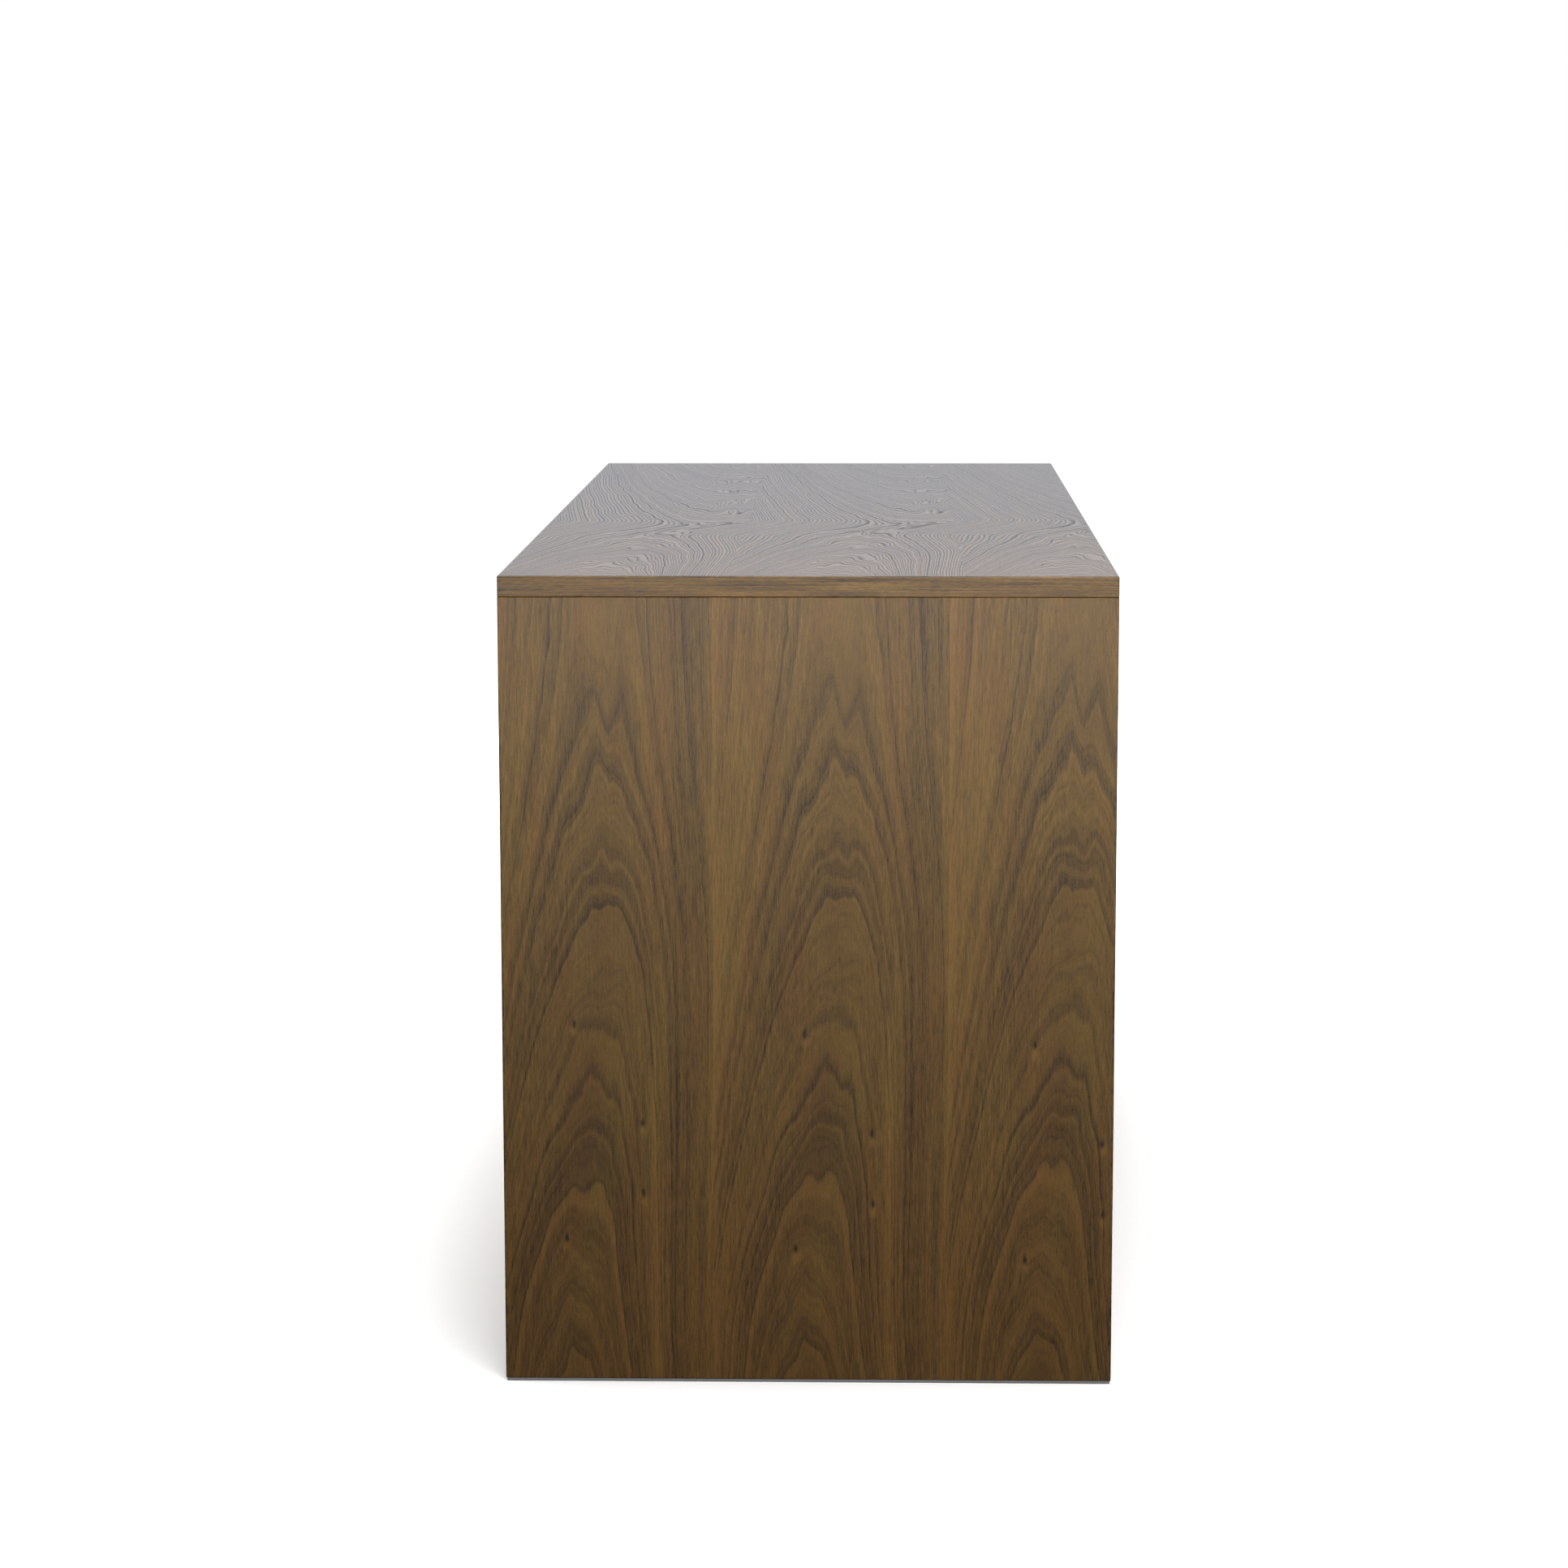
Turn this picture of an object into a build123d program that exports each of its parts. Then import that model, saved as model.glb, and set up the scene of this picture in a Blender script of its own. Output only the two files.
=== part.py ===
from build123d import *
import os

# Cube storage unit, in millimetres. X runs along the length, Y from front to back, Z up.
# The origin is on the floor, under the middle of the unit. The front faces -Y.
# It is a walnut-veneered carcass of four columns and two rows of square cubes. The upper row
# is open. The lower row holds a door at each end and two drawers between them.

# Driving dimensions
BOARD = 19.0  # thickness of every carcass board and front
CUBE = 338.0  # clear width and height of one cube
COLUMNS = 4
ROWS = 2
DEPTH = 550.0  # over the end panels and the top
GLIDE = 3.0  # height of the glide strips under the uprights
BAND = 2.0  # thickness of the solid edge banding
EASE = 1.0  # radius of the eased outer edges
SEAM = 0.5  # chamfer along the butt seams between boards
BACK = 6.0  # thickness of the back panels
BACK_INSET = 9.0  # from the rear edge to the back panel's rear face
GROOVE = 8.0  # depth of the grooves that hold the back panels
GROOVE_PLAY = 0.2  # between the back panels and the groove behind them
FRONT_GAP = 3.0  # gap round the doors and drawer fronts
FRONT_SETBACK = 1.0  # doors and drawer fronts behind the front edges
DRAWER_TRAVEL = 430.0

# Places worked out from them
PITCH = CUBE + BOARD
LENGTH = COLUMNS * CUBE + (COLUMNS + 1) * BOARD
HEIGHT = GLIDE + ROWS * CUBE + (ROWS + 1) * BOARD
END = LENGTH / 2
INNER_END = END - BOARD
FRONT = -DEPTH / 2
REAR = DEPTH / 2
TOP_UNDER = HEIGHT - BOARD
FLOOR_TOP = GLIDE + BOARD  # upper face of the bottom panel
SHELF_UNDER = FLOOR_TOP + CUBE
SHELF_TOP = SHELF_UNDER + BOARD
BACK_REAR = REAR - BACK_INSET
BACK_FRONT = BACK_REAR - BACK  # also the rear edge of the dividers, shelves and bottom
FACE = FRONT + FRONT_SETBACK  # front face of the doors and drawer fronts
FACE_BACK = FACE + BOARD
FRONT_SIDE = CUBE - 2 * FRONT_GAP
FRONT_LOW = FLOOR_TOP + FRONT_GAP
FRONT_HIGH = SHELF_UNDER - FRONT_GAP
DIVIDER_CENTRES = [PITCH * (i + 1 - COLUMNS / 2) for i in range(COLUMNS - 1)]
CUBE_CENTRES = [PITCH * (i + 0.5 - COLUMNS / 2) for i in range(COLUMNS)]
DOOR_SIDES = {"left": -1, "right": 1}
DRAWER_CENTRES = {"left": CUBE_CENTRES[1], "right": CUBE_CENTRES[2]}

# Carcass fittings
FIT = 0.1  # radial clearance of a fitting in its hole
CAM_R = 7.5
CAM_DEEP = 14.0
CAM_EDGE = 24.0  # from the joint to the cam's centre
CAM_BORE_R = 3.8
CAM_SLOT_LONG = 9.0
CAM_SLOT_WIDE = 1.6
CAM_SLOT_DEEP = 2.0
BOLT_MID = BOARD / 2  # from the board's face to the bolt
BOLT_R = 2.5
BOLT_HEAD_R = 3.4
BOLT_HEAD = 3.0
BOLT_START = 1.0  # from the cam's centre to the bolt's end
BOLT_THREAD = 11.0
CAM_YS = (-200.0, 200.0)
DOWEL_R = 4.0
DOWEL_SHALLOW = 10.0
DOWEL_DEEP = 20.0
DOWEL_YS = (-150.0, 150.0)
SHELF_DOWEL_YS = (-180.0, 0.0, 180.0)
CONFIRMAT_R = 3.4
CONFIRMAT_HEAD_R = 5.0
CONFIRMAT_HEAD = 4.0
CONFIRMAT = 50.0
BACK_SCREW_R = 1.7
BACK_SCREW_HEAD_R = 3.6
BACK_SCREW_HEAD = 2.0
BACK_SCREW = 28.0
BACK_SCREW_ZS = (80.0, 230.0, 490.0, 650.0)
BACK_MEET = 0.5  # from the unit's middle to each back panel
BACK_LIFT = 0.5  # from the bottom panel's underside to the back panels
GROOVE_END_PLAY = 1.0  # left free at the bottom of the back's groove

# Finger notch in the doors and drawer fronts
NOTCH_WIDE = 84.0
NOTCH_DEEP = 22.0
DOOR_NOTCH_IN = 62.0  # from the door's free edge to the middle of its notch

# Door pivots
PIVOT_IN = 28.0  # from the door's hinge-side edge to the pivot
PIN_R = 4.0
PIN_IN_DOOR = 20.0
PIN_OUT = 8.0
PIN_PLAY = 0.15
COLLAR_R = 8.0
COLLAR_PLAY = 0.1  # from the lower bush's flange to the collar above it
BUSH_R = 6.0
BUSH_DEEP = 10.0
FLANGE_R = 9.5
FLANGE = FRONT_GAP / 2
PIVOT_Y = FACE + BOARD / 2

# Magnetic door catches
CATCH = (40.0, 14.0, 12.0)
CATCH_IN = 36.0  # from the door's free edge to the catch's middle
CATCH_GAP = 0.3
STRIKE = (36.0, 1.0, 11.0)
STRIKE_DOWN = 1.0  # from the door's upper edge to the strike plate
STRIKE_Z = FRONT_HIGH - STRIKE_DOWN - STRIKE[2] / 2
STRIKE_HOLE = 12.0  # from the strike plate's middle to each screw
STRIKE_SCREW = 12.0
STRIKE_HEAD_R = 2.4
STRIKE_HEAD = 0.8
MAGNET_UP = 3.5  # from the catch's underside to its magnet
MAGNET = (22.0, 8.0, 5.0)
CATCH_HOLE = 15.0  # from the catch's middle to each screw
SMALL_R = 1.5
SMALL_HEAD_R = 3.0
SMALL_HEAD = 1.2

# Drawer boxes
SIDE_BOARD = 12.0
BOX_LONG = 450.0
BOX_HIGH = 250.0
BOX_LIFT = 15.0  # from the bottom panel to the box's lower edge
RAIL_THICK = 12.7
BOX_HALF = CUBE / 2 - RAIL_THICK
BOX_LOW = FLOOR_TOP + BOX_LIFT
BOX_BACK = FACE_BACK + BOX_LONG
BOTTOM_BOARD = 6.0
BOTTOM_UP = 12.0  # from the box's lower edge to its bottom board
BOTTOM_GROOVE = 6.0
PLAY = 0.2  # play of a board in its groove
CORNER_SCREW = 40.0
CORNER_SCREW_ZS = (35.0, 215.0)  # above the box's lower edge
FRONT_SCREW = 26.0
FRONT_SCREW_X = 90.0
FRONT_SCREW_ZS = (60.0, 190.0)  # above the box's lower edge
WOOD_SCREW_R = 1.7
WOOD_SCREW_HEAD_R = 3.4
WOOD_SCREW_HEAD = 2.0

# Ball-bearing rails, as seen in their own cross-section: u runs from the divider to the drawer,
# w up from the rail's middle line.
STEEL = 1.2
RAIL_Z = BOX_LOW + 90.0
OUTER_HALF = 22.5
MIDDLE_U = 2.4
MIDDLE_HALF = 17.3
INNER_HALF = 12.3
LIP_U = 9.5  # where the cabinet and middle rails' flanges end
INNER_LIP_U = 5.5
BALL_U = 7.4
BALL_R = 1.8
BALL_PITCH = 18.0
CAGE_HALF_U = 2.1
CAGE_THICK = 0.8
CAGE_START = -140.0
CAGE_END = 75.0
CABINET_RAIL = (FACE_BACK + 2.0, BOX_BACK + 2.0)
MIDDLE_RAIL = (FACE_BACK + 3.0, BOX_BACK - 7.0)
BOX_RAIL = (FACE_BACK + 2.0, BOX_BACK)
RAIL_SCREW_YS = (-225.0, -30.0, 165.0)
RAIL_SCREW = 10.0
RAIL_SCREW_HEAD = 0.8


# Shapes
def moved(point, way, distance):
    """A point shifted some distance along a direction."""
    return tuple(p + w * distance for p, w in zip(point, way))


def block(x, y, z):
    """A box that spans the given pairs, which may be in either order."""
    spans = [sorted(pair) for pair in (x, y, z)]
    size = [high - low for low, high in spans]
    middle = [(low + high) / 2 for low, high in spans]
    return Pos(*middle) * Box(*size)


def rod(start, direction, radius, length):
    """A cylinder from a start point along a direction."""
    upward = (Align.CENTER, Align.CENTER, Align.MIN)
    return Plane(start, z_dir=direction) * Cylinder(radius, length, align=upward)


def screw(start, direction, shank_r, length, head_r, head):
    """A countersunk screw whose flat head starts at a face and whose shank runs into the board."""
    upward = (Align.CENTER, Align.CENTER, Align.MIN)
    plane = Plane(start, z_dir=direction)
    cone = plane * Cone(head_r, shank_r, head, align=upward)
    return cone + plane * Cylinder(shank_r, length, align=upward)


def pan_screw(start, direction, shank_r, length, head_r, head):
    """A screw whose head stands on the face that holds the start point."""
    away = tuple(-way for way in direction)
    return rod(start, direction, shank_r, length) + rod(start, away, head_r, head)


def on_face(shape, axis, value):
    """The edges of a shape that lie wholly at one place on an axis."""
    return shape.edges().filter_by_position(axis, value - 0.001, value + 0.001)


def save(name, *solids):
    """Writes one node: a single solid, or several separate ones as a group."""
    shape = solids[0] if len(solids) == 1 else Compound(children=list(solids))
    export_step(shape, f"parts/{name}.step")


# Where the hidden fittings go
def uprights():
    """Each upright's centre, and the side of it that its cams are let into."""
    ends = [(-END + BOARD / 2, 1), (END - BOARD / 2, -1)]
    return ends + [(x, 1) for x in DIVIDER_CENTRES]


def top_cams():
    """The cams that hold the top: centre of the mouth, direction of the bolt, direction inwards."""
    places = []
    for x, side in uprights():
        for y in CAM_YS:
            mouth = (x + side * BOARD / 2, y, TOP_UNDER - CAM_EDGE)
            places.append((mouth, (0, 0, 1), (-side, 0, 0)))
    return places


def bottom_cams():
    """The cams in the bottom panel's underside, which hold the end panels."""
    places = []
    for side in (-1, 1):
        for y in CAM_YS:
            mouth = (side * (INNER_END - CAM_EDGE), y, GLIDE)
            places.append((mouth, (side, 0, 0), (0, 0, 1)))
    return places


def cam_parts(mouth, bolt_way, inward):
    """One cam and its bolt."""
    centre = moved(mouth, inward, BOLT_MID)
    cam = rod(mouth, inward, CAM_R, CAM_DEEP)
    cam -= rod(centre, bolt_way, CAM_BORE_R, CAM_EDGE)
    slot_x = Pos(0, 0, CAM_SLOT_DEEP / 2) * Box(CAM_SLOT_LONG, CAM_SLOT_WIDE, CAM_SLOT_DEEP)
    slot_y = Pos(0, 0, CAM_SLOT_DEEP / 2) * Box(CAM_SLOT_WIDE, CAM_SLOT_LONG, CAM_SLOT_DEEP)
    cam -= Plane(mouth, z_dir=inward) * (slot_x + slot_y)
    head_start = moved(centre, bolt_way, BOLT_START)
    bolt = rod(head_start, bolt_way, BOLT_HEAD_R, BOLT_HEAD)
    bolt += rod(head_start, bolt_way, BOLT_R, CAM_EDGE - BOLT_START + BOLT_THREAD)
    return cam, bolt


def cam_holes(places):
    """Cutters for the cams' pockets and the bolts' holes, through both boards."""
    cutters = []
    for mouth, bolt_way, inward in places:
        centre = moved(mouth, inward, BOLT_MID)
        joint = moved(centre, bolt_way, CAM_EDGE)
        cutters.append(rod(mouth, inward, CAM_R + FIT, CAM_DEEP + FIT))
        cutters.append(rod(centre, bolt_way, BOLT_HEAD_R + FIT, CAM_EDGE))
        cutters.append(rod(joint, bolt_way, BOLT_R + FIT, BOLT_THREAD + FIT))
    return cutters


def dowels(extra_r=0.0, extra_length=0.0):
    """Every wooden dowel, or its hole where it is given some extra size."""
    spans = []
    for x, _ in uprights():
        for y in DOWEL_YS:
            spans.append(((x, y, TOP_UNDER - DOWEL_DEEP), (0, 0, 1), DOWEL_DEEP + DOWEL_SHALLOW))
    for x in DIVIDER_CENTRES:
        for y in DOWEL_YS:
            spans.append(((x, y, FLOOR_TOP - DOWEL_SHALLOW), (0, 0, 1), DOWEL_DEEP + DOWEL_SHALLOW))
    for side in (-1, 1):
        for y in DOWEL_YS:
            start = (side * (INNER_END - DOWEL_DEEP), y, GLIDE + BOARD / 2)
            spans.append((start, (side, 0, 0), DOWEL_DEEP + DOWEL_SHALLOW))
        for y in SHELF_DOWEL_YS:
            start = (side * (INNER_END - DOWEL_DEEP), y, SHELF_UNDER + BOARD / 2)
            spans.append((start, (side, 0, 0), DOWEL_DEEP + DOWEL_SHALLOW))
    for x in DIVIDER_CENTRES:
        for y in SHELF_DOWEL_YS:
            start = (x - BOARD / 2 - DOWEL_DEEP, y, SHELF_UNDER + BOARD / 2)
            spans.append((start, (1, 0, 0), BOARD + 2 * DOWEL_DEEP))
    solids = []
    for start, way, length in spans:
        first = moved(start, way, -extra_length)
        solids.append(rod(first, way, DOWEL_R + extra_r, length + 2 * extra_length))
    return solids


def confirmats(extra_r=0.0):
    """The screws that hold the dividers on the bottom panel, or their holes."""
    return [
        screw(
            (x, y, GLIDE),
            (0, 0, 1),
            CONFIRMAT_R + extra_r,
            CONFIRMAT + extra_r,
            CONFIRMAT_HEAD_R + extra_r,
            CONFIRMAT_HEAD,
        )
        for x in DIVIDER_CENTRES
        for y in CAM_YS
    ]


def back_screws(extra_r=0.0):
    """The screws that hold the back panels, or their holes."""
    places = []
    side_step = BOARD / 4
    for x in DIVIDER_CENTRES:
        for z in BACK_SCREW_ZS:
            offsets = (-side_step, side_step) if x == 0 else (0.0,)
            places += [(x + offset, z) for offset in offsets]
    for x in CUBE_CENTRES:
        places.append((x, GLIDE + BOARD / 2))
        places.append((x, SHELF_UNDER + BOARD / 2))
    size = (BACK_SCREW_R + extra_r, BACK_SCREW + extra_r, BACK_SCREW_HEAD_R + extra_r, BACK_SCREW_HEAD)
    return [screw((x, BACK_REAR, z), (0, -1, 0), *size) for x, z in places]


HOLES = (
    cam_holes(top_cams() + bottom_cams())
    + dowels(extra_r=FIT, extra_length=FIT)
    + confirmats(extra_r=FIT)
    + back_screws(extra_r=FIT)
)


def meets(shape, other):
    """Whether the boxes round two shapes overlap."""
    a, b = shape.bounding_box(), other.bounding_box()
    spans = zip(a.min, a.max, b.min, b.max)
    return all(a_low < b_high and b_low < a_high for a_low, a_high, b_low, b_high in spans)


def drilled(board, *more):
    """The board with every hole that reaches it cut out."""
    cutters = [cutter for cutter in [*HOLES, *more] if meets(board, cutter)]
    return board - cutters


# Carcass
def end_panel(side):
    """An end panel, grooved for the back, with its outer top and bottom edges eased."""
    panel = block((side * INNER_END, side * END), (FRONT + BAND, REAR - BAND), (GLIDE, TOP_UNDER))
    outer = on_face(panel, Axis.X, side * END).filter_by(Axis.Y)
    panel = chamfer(outer, SEAM)
    groove_x = (side * (INNER_END - 1), side * (INNER_END + GROOVE))
    groove_y = (BACK_FRONT, BACK_REAR + GROOVE_PLAY)
    return drilled(panel, block(groove_x, groove_y, (GLIDE - 1, TOP_UNDER + 1)))


def top_panel():
    """The top, with a stopped groove for the back in its underside."""
    panel = block((-END + BAND, END - BAND), (FRONT + BAND, REAR - BAND), (TOP_UNDER, HEIGHT))
    groove_x = (-INNER_END - GROOVE, INNER_END + GROOVE)
    groove_y = (BACK_FRONT, BACK_REAR + GROOVE_PLAY)
    return drilled(panel, block(groove_x, groove_y, (TOP_UNDER - 1, TOP_UNDER + GROOVE)))


def eased_band(x, y, z, axis, value):
    """A strip of banding whose outer face, at that value on that axis, has rounded long edges."""
    strip = block(x, y, z)
    across = {Axis.X: Axis.Y, Axis.Y: Axis.X}[axis]
    along = on_face(strip, axis, value)
    upright_band = z[1] - z[0] > BOARD * 2
    return fillet(along.filter_by(Axis.Z if upright_band else across), EASE)


def top_banding():
    """Four strips round the top. The long ones cover the ends of the short ones."""
    strips = []
    for side in (-1, 1):
        strip = block((-END, END), (side * (REAR - BAND), side * REAR), (TOP_UNDER, HEIGHT))
        edges = on_face(strip, Axis.Y, side * REAR) + [
            edge for end in (-END, END) for edge in on_face(strip, Axis.X, end).filter_by(Axis.Y)
        ]
        strips.append(fillet(edges, EASE))
        end_x = (side * (END - BAND), side * END)
        between = (FRONT + BAND, REAR - BAND)
        strips.append(eased_band(end_x, between, (TOP_UNDER, HEIGHT), Axis.X, side * END))
    return strips


def end_banding():
    """The front and rear strips of both end panels."""
    strips = []
    for side in (-1, 1):
        for y in (FRONT, REAR):
            inward = BAND if y == FRONT else -BAND
            strip_x = (side * INNER_END, side * END)
            strips.append(eased_band(strip_x, (y, y + inward), (GLIDE, TOP_UNDER), Axis.Y, y))
    return strips


def divider(x, rail_holes):
    """A divider, from the bottom panel up to the top."""
    board = block(
        (x - BOARD / 2, x + BOARD / 2), (FRONT + BAND, BACK_FRONT), (FLOOR_TOP, TOP_UNDER)
    )
    return drilled(board, *rail_holes)


def front_band(x, z):
    """A strip of banding on the front edge of an inner board."""
    return eased_band(x, (FRONT, FRONT + BAND), z, Axis.Y, FRONT)


def divider_banding():
    height = (FLOOR_TOP, TOP_UNDER)
    return [front_band((x - BOARD / 2, x + BOARD / 2), height) for x in DIVIDER_CENTRES]


def shelf(x, *more):
    """A shelf between two uprights."""
    board = block((x - CUBE / 2, x + CUBE / 2), (FRONT + BAND, BACK_FRONT), (SHELF_UNDER, SHELF_TOP))
    return drilled(board, *more)


def bottom_panel(*more):
    board = block((-INNER_END, INNER_END), (FRONT + BAND, BACK_FRONT), (GLIDE, FLOOR_TOP))
    return drilled(board, *more)


def shelf_banding():
    """The front strips of the shelves and of the bottom panel."""
    height = (SHELF_UNDER, SHELF_TOP)
    strips = [front_band((x - CUBE / 2, x + CUBE / 2), height) for x in CUBE_CENTRES]
    strips.append(front_band((-INNER_END, INNER_END), (GLIDE, FLOOR_TOP)))
    return strips


def back_panel(side):
    """One half of the back. The two halves meet on the middle divider."""
    panel = block(
        (side * BACK_MEET, side * (INNER_END + GROOVE - GROOVE_END_PLAY)),
        (BACK_FRONT, BACK_REAR),
        (GLIDE + BACK_LIFT, TOP_UNDER + GROOVE - GROOVE_END_PLAY),
    )
    return drilled(panel)


def glide_strips():
    """A strip under each upright, a touch narrower than the board."""
    width = BOARD - 1
    strips = []
    for x, _ in uprights():
        rear = REAR - 1 if abs(x) > INNER_END else BACK_FRONT - 1
        strips.append(block((x - width / 2, x + width / 2), (FRONT + 1, rear), (0, GLIDE)))
    return strips


# Drawer rails
def rail_x(centre, side, u):
    """Where u of a rail's cross-section lies along X, on that side of a drawer."""
    return centre + side * (CUBE / 2 - u)


def channel(centre, side, web, lip, half, span):
    """A rail: a web from web[0] to web[1], with a flange at its top and bottom out to the lip."""
    def part(us, ws):
        xs = (rail_x(centre, side, us[0]), rail_x(centre, side, us[1]))
        return block(xs, span, (RAIL_Z + ws[0], RAIL_Z + ws[1]))

    outer_u = min(web[0], lip), max(web[1], lip)
    rail = part(web, (-half, half))
    rail += part(outer_u, (half - STEEL, half))
    rail += part(outer_u, (-half, STEEL - half))
    return rail


def rail_screws(centre, u, into, extra):
    """The screws through a rail's web, at u, whose thin heads stand on it.

    into is +1 for screws into the drawer and -1 for screws into the dividers.
    """
    size = (WOOD_SCREW_R + extra, RAIL_SCREW + extra, SMALL_HEAD_R + extra, RAIL_SCREW_HEAD)
    return [
        pan_screw((rail_x(centre, side, u), y, RAIL_Z), (-side * into, 0, 0), *size)
        for side in (-1, 1)
        for y in RAIL_SCREW_YS
    ]


def cabinet_screws(centre, extra=0.0):
    return rail_screws(centre, STEEL, -1, extra)


def box_rail_screws(centre, extra=0.0):
    return rail_screws(centre, RAIL_THICK - STEEL, 1, extra)


def cabinet_rails(centre):
    holes = cabinet_screws(centre, FIT)
    return [channel(centre, side, (0, STEEL), LIP_U, OUTER_HALF, CABINET_RAIL) - holes for side in (-1, 1)]


def middle_rails(centre):
    web = (MIDDLE_U, MIDDLE_U + STEEL)
    return [channel(centre, side, web, LIP_U, MIDDLE_HALF, MIDDLE_RAIL) for side in (-1, 1)]


def box_rails(centre):
    holes = box_rail_screws(centre, FIT)
    web = (RAIL_THICK - STEEL, RAIL_THICK)
    return [channel(centre, side, web, INNER_LIP_U, INNER_HALF, BOX_RAIL) - holes for side in (-1, 1)]


def ball_cages(centre, row_w):
    """The strips that space a rail's balls, and the balls, above and below its middle line."""
    solids = []
    count = int((CAGE_END - CAGE_START) // BALL_PITCH)
    first = CAGE_START + (CAGE_END - CAGE_START - (count - 1) * BALL_PITCH) / 2
    for side in (-1, 1):
        for w in (-row_w, row_w):
            middle_x = rail_x(centre, side, BALL_U)
            z = RAIL_Z + w
            strip = block(
                (middle_x - CAGE_HALF_U, middle_x + CAGE_HALF_U),
                (CAGE_START, CAGE_END),
                (z - CAGE_THICK / 2, z + CAGE_THICK / 2),
            )
            places = [(middle_x, first + i * BALL_PITCH, z) for i in range(count)]
            strip -= [Pos(*p) * Cylinder(BALL_R + FIT, 2 * CAGE_THICK) for p in places]
            solids.append(strip)
            solids += [Pos(*p) * Sphere(BALL_R) for p in places]
    return solids


# Fronts
def front_board(x_low, x_high, notch_x):
    """A door or drawer front: a square board with a finger notch in its top edge."""
    board = block((x_low, x_high), (FACE, FACE_BACK), (FRONT_LOW, FRONT_HIGH))
    radius = NOTCH_DEEP - EASE
    notch = block(
        (notch_x - NOTCH_WIDE / 2, notch_x + NOTCH_WIDE / 2),
        (FACE - 1, FACE_BACK + 1),
        (FRONT_HIGH - NOTCH_DEEP, FRONT_HIGH + NOTCH_DEEP),
    )
    lower = on_face(notch, Axis.Z, FRONT_HIGH - NOTCH_DEEP).filter_by(Axis.Y)
    board -= fillet(lower, radius)
    return fillet(on_face(board, Axis.Y, FACE), EASE)


# Drawers
def drawer_box(centre):
    """The five boards of a drawer box, by name."""
    low, high = BOX_LOW, BOX_LOW + BOX_HIGH
    inner = BOX_HALF - SIDE_BOARD
    groove_z = (low + BOTTOM_UP - PLAY, low + BOTTOM_UP + BOTTOM_BOARD + PLAY)
    reach = inner + BOTTOM_GROOVE
    groove_y = (FACE_BACK + BOTTOM_GROOVE, BOX_BACK - BOTTOM_GROOVE)
    groove = block((centre - reach, centre + reach), groove_y, groove_z)
    holes = drawer_screws(centre, FIT)
    rear_y = (BOX_BACK - SIDE_BOARD, BOX_BACK)
    front_y = (FACE_BACK, FACE_BACK + SIDE_BOARD)
    boards = {
        "left_side": block((centre - BOX_HALF, centre - inner), (FACE_BACK, BOX_BACK), (low, high)),
        "right_side": block((centre + inner, centre + BOX_HALF), (FACE_BACK, BOX_BACK), (low, high)),
        "box_front": block((centre - inner, centre + inner), front_y, (low, high)),
        "box_back": block((centre - inner, centre + inner), rear_y, (low, high)),
    }
    cut = {name: board - groove - holes for name, board in boards.items()}
    bottom_reach = reach - PLAY
    cut["bottom"] = block(
        (centre - bottom_reach, centre + bottom_reach),
        (FACE_BACK + BOTTOM_GROOVE + PLAY, BOX_BACK - BOTTOM_GROOVE - PLAY),
        (low + BOTTOM_UP, low + BOTTOM_UP + BOTTOM_BOARD),
    )
    return cut


def drawer_screws(centre, extra=0.0):
    """The corner screws, the screws into the drawer front and the rails' screws, or their holes."""
    size = (WOOD_SCREW_R + extra, CORNER_SCREW + extra, WOOD_SCREW_HEAD_R + extra, WOOD_SCREW_HEAD)
    solids = []
    for side in (-1, 1):
        for y in (FACE_BACK + SIDE_BOARD / 2, BOX_BACK - SIDE_BOARD / 2):
            for z in CORNER_SCREW_ZS:
                start = (centre + side * BOX_HALF, y, BOX_LOW + z)
                solids.append(screw(start, (-side, 0, 0), *size))
    size = (WOOD_SCREW_R + extra, FRONT_SCREW + extra, WOOD_SCREW_HEAD_R + extra, WOOD_SCREW_HEAD)
    for offset in (-FRONT_SCREW_X, FRONT_SCREW_X):
        for z in FRONT_SCREW_ZS:
            start = (centre + offset, FACE_BACK + SIDE_BOARD, BOX_LOW + z)
            solids.append(pan_screw(start, (0, -1, 0), *size))
    return solids + box_rail_screws(centre, extra)


# Doors
def door_edges(side):
    """The door's hinge-side edge and free edge along X."""
    hinge = side * (INNER_END - FRONT_GAP)
    return hinge, hinge - side * FRONT_SIDE


def pivot_x(side):
    return door_edges(side)[0] - side * PIVOT_IN


def door_pins(side):
    """The upper and lower pivot pins. The lower one has a collar that carries the door."""
    x = pivot_x(side)
    upper = rod((x, PIVOT_Y, FRONT_HIGH - PIN_IN_DOOR), (0, 0, 1), PIN_R, PIN_IN_DOOR + FRONT_GAP + PIN_OUT)
    lower = rod((x, PIVOT_Y, FLOOR_TOP - PIN_OUT), (0, 0, 1), PIN_R, PIN_IN_DOOR + FRONT_GAP + PIN_OUT)
    collar_low = FLOOR_TOP + FLANGE + COLLAR_PLAY
    lower += rod((x, PIVOT_Y, collar_low), (0, 0, 1), COLLAR_R, FRONT_LOW - collar_low)
    return [upper, lower]


def pivot_bushes(side):
    """The flanged bushes in the shelf's underside and in the bottom panel."""
    x = pivot_x(side)
    solids = []
    for z, into in ((SHELF_UNDER, 1), (FLOOR_TOP, -1)):
        sleeve = rod((x, PIVOT_Y, z), (0, 0, into), BUSH_R, BUSH_DEEP)
        flange = rod((x, PIVOT_Y, z), (0, 0, -into), FLANGE_R, FLANGE)
        bore = rod((x, PIVOT_Y, z - into * FLANGE), (0, 0, into), PIN_R + PIN_PLAY, FLANGE + BUSH_DEEP)
        solids.append(sleeve + flange - bore)
    return solids


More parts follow.
